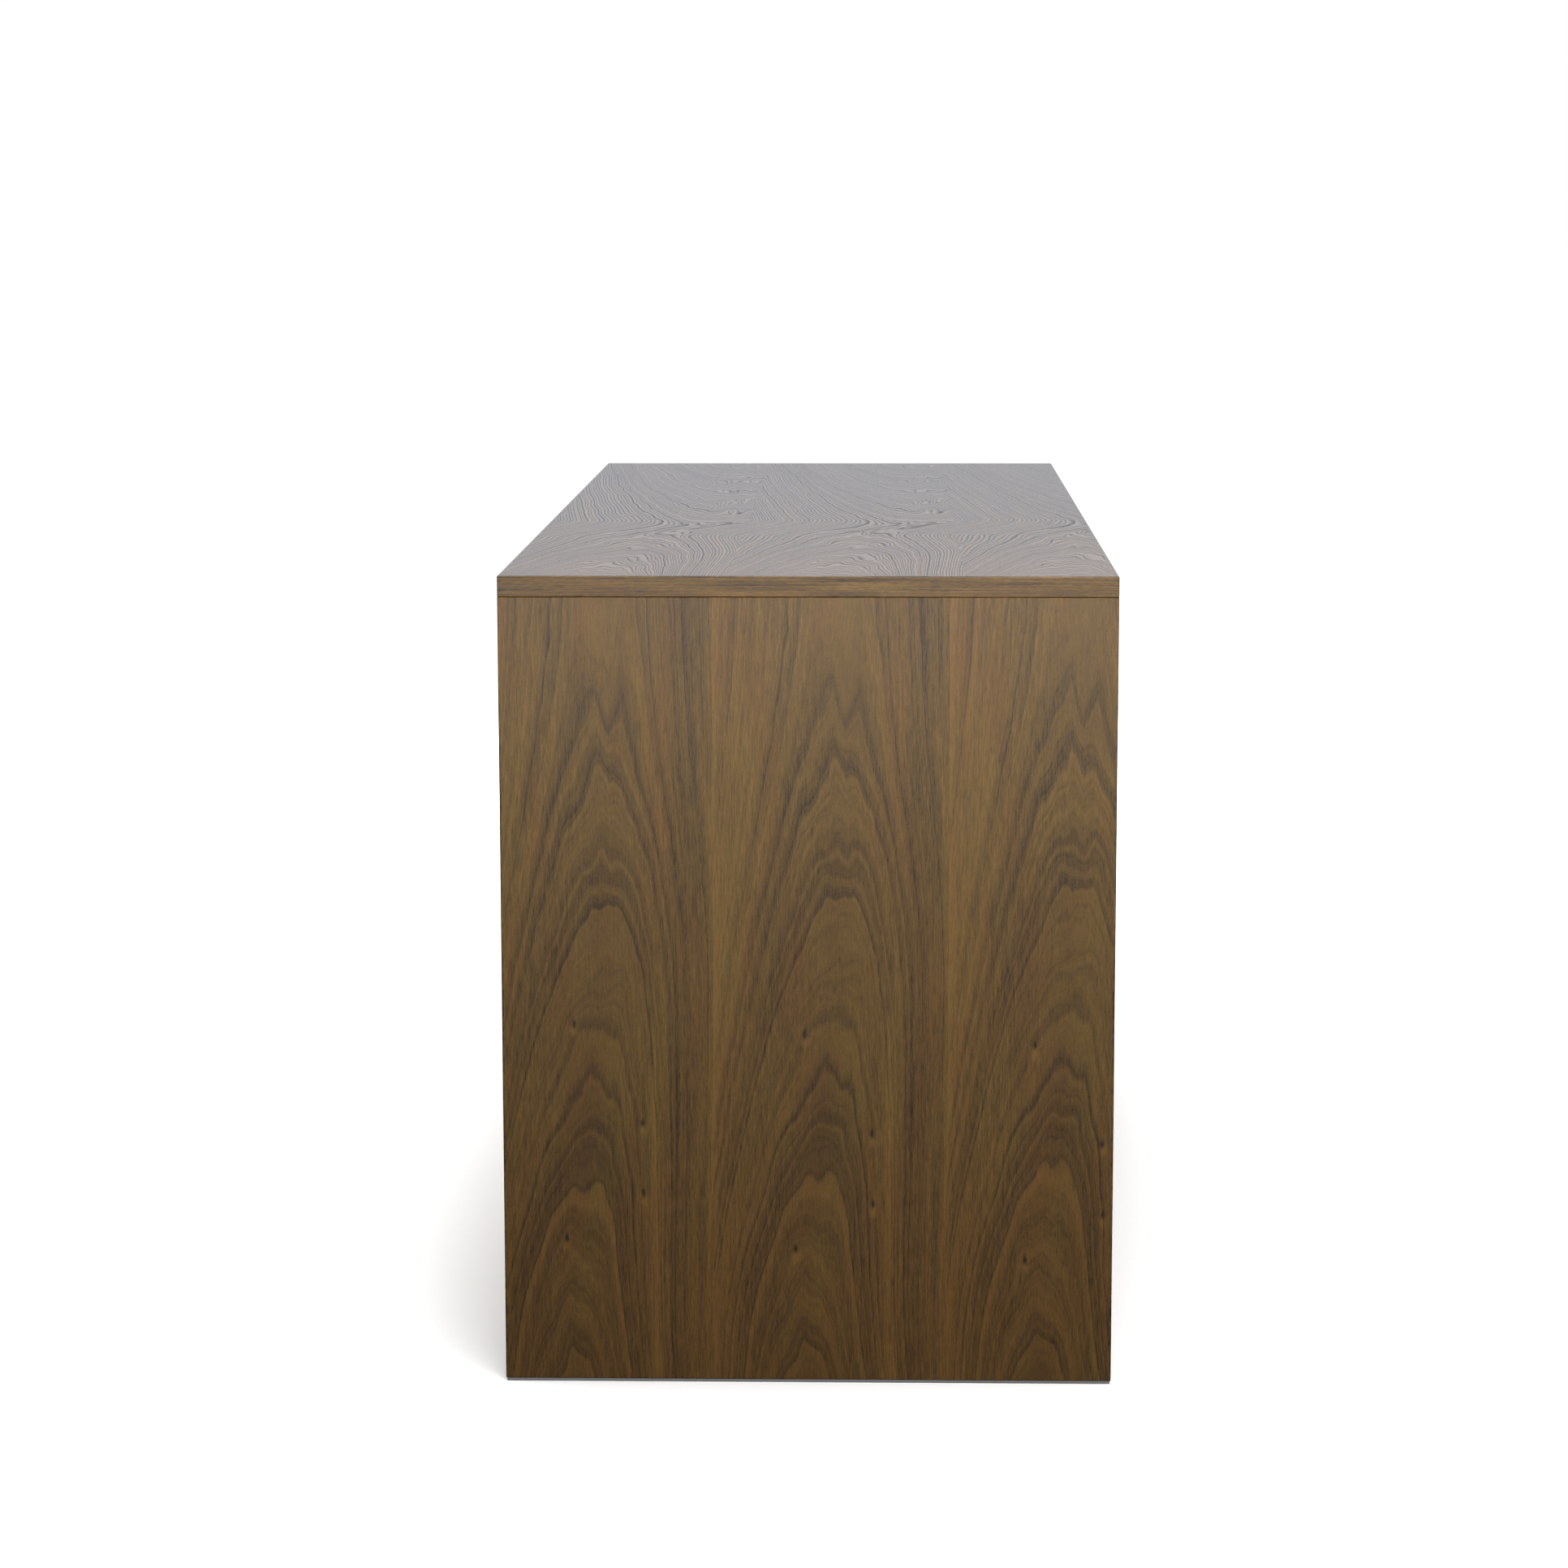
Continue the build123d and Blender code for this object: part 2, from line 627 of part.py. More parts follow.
def bush_holes():
    return [
        rod((pivot_x(side), PIVOT_Y, z), (0, 0, into), BUSH_R, BUSH_DEEP)
        for side in (-1, 1)
        for z, into in ((SHELF_UNDER, 1), (FLOOR_TOP, -1))
    ]


def catch_x(side):
    return door_edges(side)[1] + side * (DOOR_NOTCH_IN + NOTCH_WIDE / 2 + CATCH_IN)


def catch_front():
    return FACE_BACK + STRIKE[1] + CATCH_GAP


def catch_screws(side, extra=0.0):
    x, y = catch_x(side), catch_front() + CATCH[1] / 2
    size = (SMALL_R + extra, CATCH[2] + 8.0 + extra, SMALL_HEAD_R + extra, SMALL_HEAD)
    low = SHELF_UNDER - CATCH[2]
    return [screw((x + offset, y, low), (0, 0, 1), *size) for offset in (-CATCH_HOLE, CATCH_HOLE)]


def strike_screws(side, extra=0.0):
    x, y = catch_x(side), FACE_BACK + STRIKE[1]
    size = (SMALL_R + extra, STRIKE_SCREW + extra, STRIKE_HEAD_R + extra, STRIKE_HEAD)
    offsets = (-STRIKE_HOLE, STRIKE_HOLE)
    return [screw((x + offset, y, STRIKE_Z), (0, -1, 0), *size) for offset in offsets]


def catch_parts(side):
    """The catch's housing and its magnet, and the strike plate on the door."""
    x, y, high = catch_x(side), catch_front(), SHELF_UNDER
    housing = block((x - CATCH[0] / 2, x + CATCH[0] / 2), (y, y + CATCH[1]), (high - CATCH[2], high))
    magnet_low = high - CATCH[2] + MAGNET_UP
    magnet_z = (magnet_low, magnet_low + MAGNET[2])
    magnet = block((x - MAGNET[0] / 2, x + MAGNET[0] / 2), (y, y + MAGNET[1]), magnet_z)
    housing -= [magnet, *catch_screws(side, FIT)]
    strike = block(
        (x - STRIKE[0] / 2, x + STRIKE[0] / 2),
        (FACE_BACK, FACE_BACK + STRIKE[1]),
        (STRIKE_Z - STRIKE[2] / 2, STRIKE_Z + STRIKE[2] / 2),
    )
    return housing, magnet, strike - strike_screws(side, FIT)


def door(side):
    hinge, free = door_edges(side)
    board = front_board(min(hinge, free), max(hinge, free), free + side * DOOR_NOTCH_IN)
    return board - [*door_pins(side), *strike_screws(side, FIT)]


# Writing the nodes
os.makedirs("parts", exist_ok=True)
shelf_holes = bush_holes() + catch_screws(-1, FIT) + catch_screws(1, FIT)
divider_holes = [hole for centre in DRAWER_CENTRES.values() for hole in cabinet_screws(centre, FIT)]

save("top_panel", top_panel())
save("top_edge_banding", *top_banding())
save("left_end_panel", end_panel(-1))
save("right_end_panel", end_panel(1))
save("end_panel_edge_banding", *end_banding())
for name, x in zip(("left", "middle", "right"), DIVIDER_CENTRES):
    save(f"{name}_divider", divider(x, divider_holes))
save("divider_edge_banding", *divider_banding())
for number, x in enumerate(CUBE_CENTRES, start=1):
    save(f"shelf_{number}", shelf(x, *shelf_holes))
save("shelf_edge_banding", *shelf_banding())
save("bottom_panel", bottom_panel(*bush_holes()))
save("left_back_panel", back_panel(-1))
save("right_back_panel", back_panel(1))
save("back_panel_screws", *back_screws())
save("glide_strips", *glide_strips())

fittings = [cam_parts(*place) for place in top_cams() + bottom_cams()]
save("cam_housings", *[cam for cam, _ in fittings])
save("cam_bolts", *[bolt for _, bolt in fittings])
save("wood_dowels", *dowels())
save("divider_screws", *confirmats())

for hand, centre in DRAWER_CENTRES.items():
    prefix = f"{hand}_drawer"
    save(f"{prefix}_cabinet_rails", *cabinet_rails(centre))
    save(f"{prefix}_middle_rails", *middle_rails(centre))
    save(f"{prefix}_outer_ball_cages", *ball_cages(centre, (OUTER_HALF - STEEL + MIDDLE_HALF) / 2))
    save(f"{prefix}_inner_ball_cages", *ball_cages(centre, (MIDDLE_HALF - STEEL + INNER_HALF) / 2))
    save(f"{prefix}_box_rails", *box_rails(centre))
    face = front_board(centre - FRONT_SIDE / 2, centre + FRONT_SIDE / 2, centre)
    save(f"{prefix}_front", face - drawer_screws(centre, FIT))
    for board, shape in drawer_box(centre).items():
        save(f"{prefix}_{board}", shape)
    save(f"{prefix}_screws", *drawer_screws(centre))
save("cabinet_rail_screws", *[s for centre in DRAWER_CENTRES.values() for s in cabinet_screws(centre)])

save("door_pivot_bushes", *[bush for side in DOOR_SIDES.values() for bush in pivot_bushes(side)])
save("door_catches", *[catch_parts(side)[0] for side in DOOR_SIDES.values()])
save("door_catch_magnets", *[catch_parts(side)[1] for side in DOOR_SIDES.values()])
save("door_catch_screws", *[s for side in DOOR_SIDES.values() for s in catch_screws(side)])
for hand, side in DOOR_SIDES.items():
    save(f"{hand}_door", door(side))
    save(f"{hand}_door_pivot_pins", *door_pins(side))
    save(f"{hand}_door_strike_plate", catch_parts(side)[2])
    save(f"{hand}_door_strike_screws", *strike_screws(side))
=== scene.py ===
import math

import bpy
from mathutils import Matrix, Vector


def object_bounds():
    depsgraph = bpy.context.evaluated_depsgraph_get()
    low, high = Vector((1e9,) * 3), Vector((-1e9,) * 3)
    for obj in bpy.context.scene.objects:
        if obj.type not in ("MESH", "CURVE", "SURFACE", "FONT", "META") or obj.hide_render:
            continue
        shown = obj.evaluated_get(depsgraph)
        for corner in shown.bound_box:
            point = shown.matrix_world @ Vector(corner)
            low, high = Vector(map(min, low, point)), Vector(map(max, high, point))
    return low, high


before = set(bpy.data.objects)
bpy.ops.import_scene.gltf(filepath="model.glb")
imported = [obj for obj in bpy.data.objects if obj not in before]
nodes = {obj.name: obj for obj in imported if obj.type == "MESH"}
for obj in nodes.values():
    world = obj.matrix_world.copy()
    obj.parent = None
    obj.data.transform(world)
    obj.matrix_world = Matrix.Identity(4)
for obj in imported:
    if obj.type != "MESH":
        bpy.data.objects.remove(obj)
cad_low, cad_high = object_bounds()
scene = bpy.context.scene

MM = 1000.0  # millimetres in a metre


# Shader helpers
class Value:
    """One output of a shader node. Sums with it add maths nodes."""

    def __init__(self, nodes, socket):
        self.nodes = nodes
        self.socket = socket

    def __add__(self, other):
        return self.nodes.maths("ADD", self, other)

    def __radd__(self, other):
        return self.nodes.maths("ADD", other, self)

    def __sub__(self, other):
        return self.nodes.maths("SUBTRACT", self, other)

    def __rsub__(self, other):
        return self.nodes.maths("SUBTRACT", other, self)

    def __mul__(self, other):
        return self.nodes.maths("MULTIPLY", self, other)

    def __truediv__(self, other):
        return self.nodes.maths("DIVIDE", self, other)

    def __neg__(self):
        return self.nodes.maths("MULTIPLY", self, -1.0)

    def floor(self):
        return self.nodes.maths("FLOOR", self)

    def sqrt(self):
        return self.nodes.maths("SQRT", self)

    def exp(self):
        return self.nodes.maths("EXPONENT", self)

    def above(self, limit):
        return self.nodes.maths("GREATER_THAN", self, limit)

    def below(self, limit):
        return self.nodes.maths("LESS_THAN", self, limit)

    def at_least(self, limit):
        return self.nodes.maths("MAXIMUM", self, limit)

    def absolute(self):
        return self.nodes.maths("ABSOLUTE", self)

    def power(self, exponent):
        return self.nodes.maths("POWER", self, exponent)


class Nodes:
    """The nodes of a material or a world. Most methods add a node and give back its output."""

    def __init__(self, tree):
        self.tree = tree

    def add(self, kind, **settings):
        node = self.tree.nodes.new(kind)
        for name, value in settings.items():
            setattr(node, name, value)
        return node

    def join(self, socket, value):
        """Links a value to a socket, or sets the socket to a number or a colour."""
        if isinstance(value, Value):
            self.tree.links.new(value.socket, socket)
        else:
            socket.default_value = value

    def maths(self, operation, a, b=None, c=None):
        node = self.add("ShaderNodeMath", operation=operation)
        for socket, value in zip(node.inputs, (a, b, c)):
            if value is not None:
                self.join(socket, value)
        return Value(self, node.outputs["Value"])

    def source(self, kind, output):
        """An output of a node that has nothing to set."""
        return Value(self, self.add(kind).outputs[output])

    def split(self, vector):
        node = self.add("ShaderNodeSeparateXYZ")
        self.join(node.inputs[0], vector)
        return [Value(self, node.outputs[axis]) for axis in "XYZ"]

    def vector(self, x, y, z):
        node = self.add("ShaderNodeCombineXYZ")
        for socket, value in zip(node.inputs, (x, y, z)):
            self.join(socket, value)
        return Value(self, node.outputs["Vector"])

    def scaled(self, vector, amount):
        """A place or a colour times a number."""
        node = self.add("ShaderNodeVectorMath", operation="SCALE")
        self.join(node.inputs[0], vector)
        self.join(node.inputs["Scale"], amount)
        return Value(self, node.outputs["Vector"])

    def noise(self, x, y, z=0.0, detail=2.0, rough=0.5):
        """Noise from 0 to 1, of a place given in units of the noise's own size."""
        node = self.add("ShaderNodeTexNoise")
        self.join(node.inputs["Vector"], self.vector(x, y, z))
        node.inputs["Scale"].default_value = 1.0
        node.inputs["Detail"].default_value = detail
        node.inputs["Roughness"].default_value = rough
        return Value(self, node.outputs["Fac"])

    def grain(self, across, along, width, length, seed, detail=2.0, rough=0.5):
        """Noise about 0, in streaks of a width and a length in millimetres."""
        return self.noise(across / width, along / length, seed, detail, rough) - 0.5

    def random(self, seed):
        """An even random number from 0 to 1 for each whole number."""
        node = self.add("ShaderNodeTexWhiteNoise", noise_dimensions="1D")
        self.join(node.inputs["W"], seed)
        return Value(self, node.outputs["Value"])

    def range(self, value, low, high, to_low=0.0, to_high=1.0, kind="SMOOTHSTEP"):
        """Goes from to_low to to_high while the value goes from low to high."""
        node = self.add("ShaderNodeMapRange", interpolation_type=kind)
        for name, given in (
            ("Value", value),
            ("From Min", low),
            ("From Max", high),
            ("To Min", to_low),
            ("To Max", to_high),
        ):
            self.join(node.inputs[name], given)
        return Value(self, node.outputs["Result"])

    def ramp(self, value, stops):
        """A ramp through (position, grey or colour) stops."""
        node = self.add("ShaderNodeValToRGB")
        self.join(node.inputs[0], value)
        elements = node.color_ramp.elements
        for index, (position, colour) in enumerate(stops):
            element = elements[index] if index < 2 else elements.new(position)
            element.position = position
            rgb = colour if isinstance(colour, tuple) else (colour,) * 3
            element.color = (*rgb, 1.0)
        return Value(self, node.outputs["Color"])

    def blend(self, share, a, b):
        """Colour a where the share is 0, and colour b where it is 1."""
        node = self.add("ShaderNodeMix", data_type="RGBA")
        self.join(node.inputs[0], share)
        for socket, value in ((node.inputs[6], a), (node.inputs[7], b)):
            self.join(socket, (*value, 1.0) if isinstance(value, tuple) else value)
        return Value(self, node.outputs[2])


class Shader(Nodes):
    """A node-based material. x, y and z are the place on the unit at rest, in millimetres."""

    def __init__(self, name):
        self.material = bpy.data.materials.new(name)
        self.material.use_nodes = True
        super().__init__(self.material.node_tree)
        self.principled = self.tree.nodes["Principled BSDF"]
        place = self.source("ShaderNodeTexCoord", "Object")
        self.x, self.y, self.z = self.split(self.scaled(place, MM))

    def finish(self, colour, roughness, height=None, depth=0.0001, **uniform):
        """Joins the look to the shader. depth is the bump's real depth in metres."""
        self.join(self.principled.inputs["Base Color"], colour)
        self.join(self.principled.inputs["Roughness"], roughness)
        if height is not None:
            bump = self.add("ShaderNodeBump")
            bump.inputs["Strength"].default_value = 1.0
            bump.inputs["Distance"].default_value = depth
            self.join(bump.inputs["Height"], height)
            self.join(self.principled.inputs["Normal"], Value(self, bump.outputs["Normal"]))
        for name, value in uniform.items():
            self.principled.inputs[name.replace("_", " ")].default_value = value
        return self.material


def hill(*offsets):
    """1 where every offset is 0, falling to 0 round there. Each comes with its squared spread."""
    total = 0.0
    for offset, spread in offsets:
        total = total - (offset * offset) / spread
    return total.exp()


# Walnut veneer
# A leaf is a sheet sliced off a tapering log, so growth rings show as arches that point up the
# tree. Neighbouring leaves come off the log one after another and are laid side by side.
LEAF = 211.0  # width of a leaf
LEAF_STEP = 9.0  # how far the figure moves along from one leaf to the next
KNOT_STEP = 4.0  # how far a knot moves across from one leaf to the next
LEAF_CHANGE = 0.12  # how far the noises move from one leaf to the next, in their own size
CROWN = 600.0  # place along a leaf above which the rings are drawn out
# Height of each strong ring's tip on the leaf, and how dark it is
RINGS = (
    (-80, 0.5),
    (-20, 0.6),
    (34, 0.6),
    (86, 0.5),
    (128, 0.5),
    (196, 0.6),
    (214, 0.4),
    (244, 0.6),
    (288, 0.6),
    (336, 0.6),
    (392, 0.2),
    (450, 1.0),
    (474, 0.9),
    (500, 0.5),
    (560, 0.45),
    (610, 0.4),
)
RINGS_END = 680.0  # where the table of strong rings stops
RING_EDGE = 5.0  # height over which a ring's light end turns into the next one's dark start
WEAK_RINGS = 15.0  # mean distance between weak rings
# Pin knots: place across and along the leaf
KNOTS = ((82, 323), (143, 232), (144, 167), (74, 125))
RED = (0.240, 0.1195, 0.0285)
GOLD = (0.246, 0.1385, 0.0305)
DARK = (0.042, 0.025, 0.011)


def walnut(sh, value, hue):
    """Walnut's colour: value is dark at 0.05 and light at 0.85, hue red at 0 and gold at 1."""
    return sh.blend(sh.range(value, 0.05, 0.85, kind="LINEAR"), DARK, sh.blend(hue, RED, GOLD))


def ring_profile(sh, ring):
    """Tone across the strong rings: dark at each ring's start, lighter towards the next."""
    first = RINGS[0][0]
    span = RINGS_END - first
    starts = [(height - first) / span for height, _ in RINGS] + [1.0]
    stops = []
    for index, (_, dark) in enumerate(RINGS):
        width = (starts[index + 1] - starts[index]) * span
        stops.append((starts[index], 0.5 - 0.5 * dark))
        stops.append((starts[index + 1] - RING_EDGE / span, 0.5 + min(width / 200.0, 0.4)))
    return sh.ramp((ring - first) / span, stops)


def arches(sh, s, v, fresh, seed, fold):
    """The place x across the arches from their tips, how near it is, the sway, and the ring.

    An arch is a parabola, wider on its left, about an axis that leans left low on the leaf.
    """
    axis = sh.range(v, 0.0, 460.0, 84.0, 119.0)
    if fold is not None:
        axis = axis + sh.range(v, fold - 80.0, fold + 120.0, 0.0, 70.0)
    sway = (sh.noise(v / 260.0, fresh, 3.0 + seed, detail=0.0) - 0.5) * 8.0
    x = s - axis + sway
    wide = 15.0 + x.below(0.0) * sh.range(v, -40.0, 420.0, 1.0, 17.0, kind="LINEAR")
    # Low arches are wavy; high ones are split in two at the tip
    near = hill((x, 900.0))
    notch = (1.0 - (x - 1.0).absolute() / 11.0).at_least(0.0)
    notch = notch * sh.range(v, 420.0, 620.0, 0.0, 28.0)
    bend = sh.grain(x, v, 24.0, 100.0, fresh, detail=1.0) * 70.0
    fine = sh.grain(x, v, 9.0, 40.0, fresh) * 14.0
    if fold is None:
        rise = sh.maths("SMOOTH_MIN", v, CROWN + (v - CROWN) * 0.3, 90.0)
    else:
        rise = fold - ((v - fold) * (v - fold) + 3600.0).sqrt()
        bend = bend * 1.3 + sh.grain(x, v, 60.0, 130.0, fresh + 31.0, detail=1.0) * 160.0
    ring = rise + x * x / wide + (bend + notch) * (near * 0.6 + 0.4) + fine
    return x, near, sway, ring


def pin_knots(s, along, leaf):
    """The knots' dark spots, the light spots below them, and the hills they make in the rings."""
    dark = light = turned = 0.0
    for place_s, place_along in KNOTS:
        dx = s - place_s + leaf * KNOT_STEP
        dv = along - place_along + leaf * LEAF_STEP
        dark = dark + hill((dx, 2.0), (dv, 12.0))
        light = light + hill((dx, 14.0), (dv + 7.0, 26.0))
        turned = turned + hill((dx, 90.0), (dv, 500.0))
    return dark, light, turned


def flanks(sh, s, v, sway):
    """Tones of the leaf's two sides: golden at the seam and in one low streak, dark at right."""
    streak = hill((s - 160.0 + sway * 0.3, 55.0)) * sh.range(v, 250.0, 420.0, 1.0, 0.0)
    right = sh.range(s, 166.0, 180.0) * sh.range(s, 198.0, 210.0, 1.0, 0.0)
    left = sh.range(s, 0.0, 70.0, 1.0, 0.0)
    return hill((s, 14.0)) * 0.16 + streak * 0.24 - right * 0.14 + left * 0.06


def veneer(
    name, across, along, seam, shift, seed, flip=1.0, tone=1.0, contrast=1.0, relief=0.4,
    knots=False, fold=None, etched=0.0,
):
    """Slip-matched walnut veneer. across and along are axis letters.

    seam is the place of one seam. shift and flip turn a place along into one up the tree.
    fold is the place along a leaf where the log bulges, past which the arches point back.
    etched is the strength of thin, even ring lines, which take the place of the strong rings.
    """
    sh = Shader(name)
    u = getattr(sh, across) - seam
    leaf = (u / LEAF).floor()
    s = u - leaf * LEAF  # place across the leaf
    v = getattr(sh, along) * flip + shift - leaf * LEAF_STEP  # place along it, up the tree
    fresh = leaf * LEAF_CHANGE + seed
    x, near, sway, ring = arches(sh, s, v, fresh, seed, fold)
    if knots:
        knot_dark, knot_light, turned = pin_knots(s, getattr(sh, along), leaf)
        ring = ring - turned * 12.0

    # Rings crowd together at the sides of the leaf, where only every few of them can be told
    # apart. Between the strong rings are weaker ones at random.
    spaced = sh.maths("SMOOTH_MIN", ring, 330.0 + ring * 0.45, 120.0)
    uneven = (sh.noise(spaced / 40.0, seed, detail=1.0) - 0.5) * 34.0
    weak_place = (spaced + uneven) / WEAK_RINGS
    weak_ring = weak_place.floor()
    part = weak_place - weak_ring
    weak = (-part * 3.0).exp() * sh.range(part, 0.0, 0.2)
    weak = weak * sh.random(weak_ring + seed).power(1.4)
    if etched:
        dark_line = (-part * 5.0).exp() * sh.range(part, 0.0, 0.15)
        strong = -dark_line * (sh.random(weak_ring + seed + 3.0) * 0.6 + 0.4) * etched
        sharp = 1.0
    else:
        calm = sh.range(v, CROWN, 720.0, 1.0, 0.45)
        strong = (ring_profile(sh, ring).power(0.55) - 0.68) * (0.50 + near * 0.06)
        strong = strong * contrast * calm
        # The lines on the flanks stay sharp above the last arches
        sharp = sh.range(v, 380.0, 640.0, 1.0, 1.75)

    # Lines and soft bands along the rings, patches, and the wood's own straight fibres and pores
    lines = sh.grain(spaced, v, 5.0, 320.0, fresh, detail=3.0, rough=0.65)
    soft = sh.grain(spaced, v, 32.0, 420.0, fresh + 5.0)
    patch = sh.grain(x, v, 45.0, 170.0, fresh + 9.0)
    fibre = sh.grain(u, v, 3.2, 160.0, fresh + 3.0, detail=3.0, rough=0.6)
    threads = sh.grain(u, v, 2.0, 70.0, seed + 11.0, rough=0.6)
    vessels = sh.grain(u, v, 1.2, 20.0, seed + 6.0, rough=0.7)
    pores = sh.grain(u, v, 0.55, 9.0, seed, rough=0.7)
    speck = sh.grain(u, v, 0.8, 1.6, seed + 2.0, detail=1.0, rough=0.6)
    value = (
        0.5
        + strong
        - weak * (0.44 - near * 0.22) * sharp * contrast
        + lines * (0.50 - near * 0.08) * sharp * contrast
        + soft * (0.40 + near * 0.05) * contrast
        + patch * 0.26 * contrast
        + fibre * (0.40 - near * 0.3) * contrast
        + threads * (0.45 - near * 0.35)
        + vessels * (1.00 - near * 0.50)
        + pores * 0.55
        + speck * 0.28
    )
    if fold is None:
        value = value + flanks(sh, s, v, sway)
    if knots:
        value = value - knot_dark * 0.8 + knot_light * 0.3
    hue = sh.noise(x / 30.0, v / 200.0, fresh + 14.0) + sh.range(v, 0.0, 600.0, -0.12, 0.10)
    colour = sh.scaled(walnut(sh, value, sh.range(hue, 0.35, 0.65)), tone)
    roughness = 0.29 + pores * 0.10
    if etched:
        roughness = roughness + dark_line * 0.34
    height = pores * 0.6 + value * relief
    return sh.finish(colour, roughness, height, depth=0.00006, Specular_IOR_Level=0.5)


def banding(name, across, along, seed, tone=1.0):
    """Edge banding: straight fine grain along the strip."""
    sh = Shader(name)
    u, v = getattr(sh, across), getattr(sh, along)
    lines = sh.grain(u, v, 1.5, 120.0, seed, detail=3.0, rough=0.65)
    bands = sh.grain(u, v, 6.0, 90.0, seed + 4.0)
    pores = sh.grain(u, v, 0.8, 9.0, seed, rough=0.7)
    hue = sh.noise(v / 120.0, u / 20.0, seed + 8.0, detail=1.0)
    value = 0.46 + lines * 1.7 + bands * 0.7 + pores * 1.3
    colour = sh.scaled(walnut(sh, value, sh.range(hue, 0.3, 0.7)), tone)
    return sh.finish(colour, 0.32 + pores * 0.1, pores, depth=0.00005)


PLY = 1.5  # thickness of a ply


def plywood(name, across, along, layer):
    """Clear-coated birch plywood, with its plies showing on the edges that face up or down."""
    sh = Shader(name)
    u, v = getattr(sh, across), getattr(sh, along)
    grain = sh.grain(u, v, 5.0, 180.0, 1.0, detail=3.0, rough=0.6)
    figure = sh.grain(u, v, 40.0, 160.0, 6.0)
    pores = sh.grain(u, v, 0.5, 7.0, 2.0, rough=0.7)
    value = 0.5 + grain * 0.6 + figure * 0.5 + pores * 0.3
    face = sh.ramp(value, ((0.0, (0.42, 0.26, 0.13)), (1.0, (0.72, 0.54, 0.34))))
    plies = getattr(sh, layer) / PLY
    ply = (plies - plies.floor()).above(0.5)
    edge = sh.blend(ply, (0.60, 0.43, 0.26), (0.36, 0.22, 0.11))
    normal = sh.source("ShaderNodeNewGeometry", "Normal")
    up = sh.split(normal)[2].absolute().above(0.7)
    return sh.finish(sh.blend(up, face, edge), 0.38 + pores * 0.15, pores, depth=0.00004)


def metal(name, colour, roughness, along="y"):
    """Plated or brushed metal, with faint marks along one axis."""
    sh = Shader(name)
    axes = [getattr(sh, axis) / (30.0 if axis == along else 0.6) for axis in "xyz"]
    marks = sh.noise(*axes, rough=0.6)
    cloud = sh.noise(sh.x / 9.0, sh.y / 9.0, sh.z / 9.0)
    base = sh.scaled(sh.blend(cloud, colour, tuple(c * 0.86 for c in colour)), 0.9 + marks * 0.2)
    rough = roughness + (marks - 0.5) * 0.12 + (cloud - 0.5) * 0.1
    return sh.finish(base, rough, marks, depth=0.00002, Metallic=1.0)


def plastic(name, colour, roughness, grain=0.6):
    """Moulded or felted plastic. grain is the size of its fine grain."""
    sh = Shader(name)
    fine = sh.noise(sh.x / grain, sh.y / grain, sh.z / grain, rough=0.6)
    cloud = sh.noise(sh.x / 25.0, sh.y / 25.0, sh.z / 25.0)
    base = sh.blend(cloud, colour, tuple(c * 0.9 for c in colour))
    base = sh.scaled(base, 0.92 + fine * 0.16)
    return sh.finish(base, roughness + (fine - 0.5) * 0.12, fine, depth=0.00005)


def both(*parts):
    """The names of the left-hand and right-hand ones."""
    return [f"{hand}_{part}" for hand in ("left", "right") for part in parts]


def dress(material, *names):
    """Gives CAD nodes a material."""
    for name in names:
        nodes[name].data.materials.clear()
        nodes[name].data.materials.append(material)


# Materials on the nodes
dress(
    veneer("walnut_end", "y", "z", seam=-85.0, shift=0.0, seed=0.0, knots=True),
    *both("end_panel"),
)
dress(
    veneer(
        "walnut_top", "y", "x", seam=-72.0, shift=860.0, seed=7.0, flip=-1.0, contrast=0.9,
        relief=1.6, fold=620.0, etched=1.2,
    ),
    "top_panel",
)
dress(
    veneer("walnut_upright", "y", "z", seam=-60.0, shift=120.0, seed=21.0, tone=0.95),
    "middle_divider",
    *both("divider"),
)
dress(
    veneer("walnut_level", "y", "x", seam=-40.0, shift=300.0, seed=33.0, tone=0.95),
    "bottom_panel",
    *[f"shelf_{number}" for number in range(1, 5)],
)
dress(
    veneer("walnut_fronts", "x", "z", seam=0.0, shift=180.0, seed=41.0),
    *both("door", "drawer_front"),
)
dress(
    veneer("walnut_backs", "x", "z", seam=0.0, shift=90.0, seed=52.0, tone=0.85),
    *both("back_panel"),
)

dress(banding("banding_top", "z", "y", seed=3.0), "top_edge_banding")
dress(banding("banding_end", "x", "z", seed=5.0, tone=0.9), "end_panel_edge_banding")
dress(banding("banding_divider", "x", "z", seed=9.0), "divider_edge_banding")
dress(banding("banding_shelf", "z", "x", seed=12.0), "shelf_edge_banding")

for drawer in both("drawer"):
    sides = plywood(f"{drawer}_ply_side", "z", "y", "x")
    dress(sides, f"{drawer}_left_side", f"{drawer}_right_side")
    dress(
        plywood(f"{drawer}_ply_end", "z", "x", "y"),
        f"{drawer}_box_front",
        f"{drawer}_box_back",
    )
    dress(plywood(f"{drawer}_ply_base", "y", "x", "z"), f"{drawer}_bottom")
dress(plywood("beech_dowel", "x", "z", "z"), "wood_dowels")

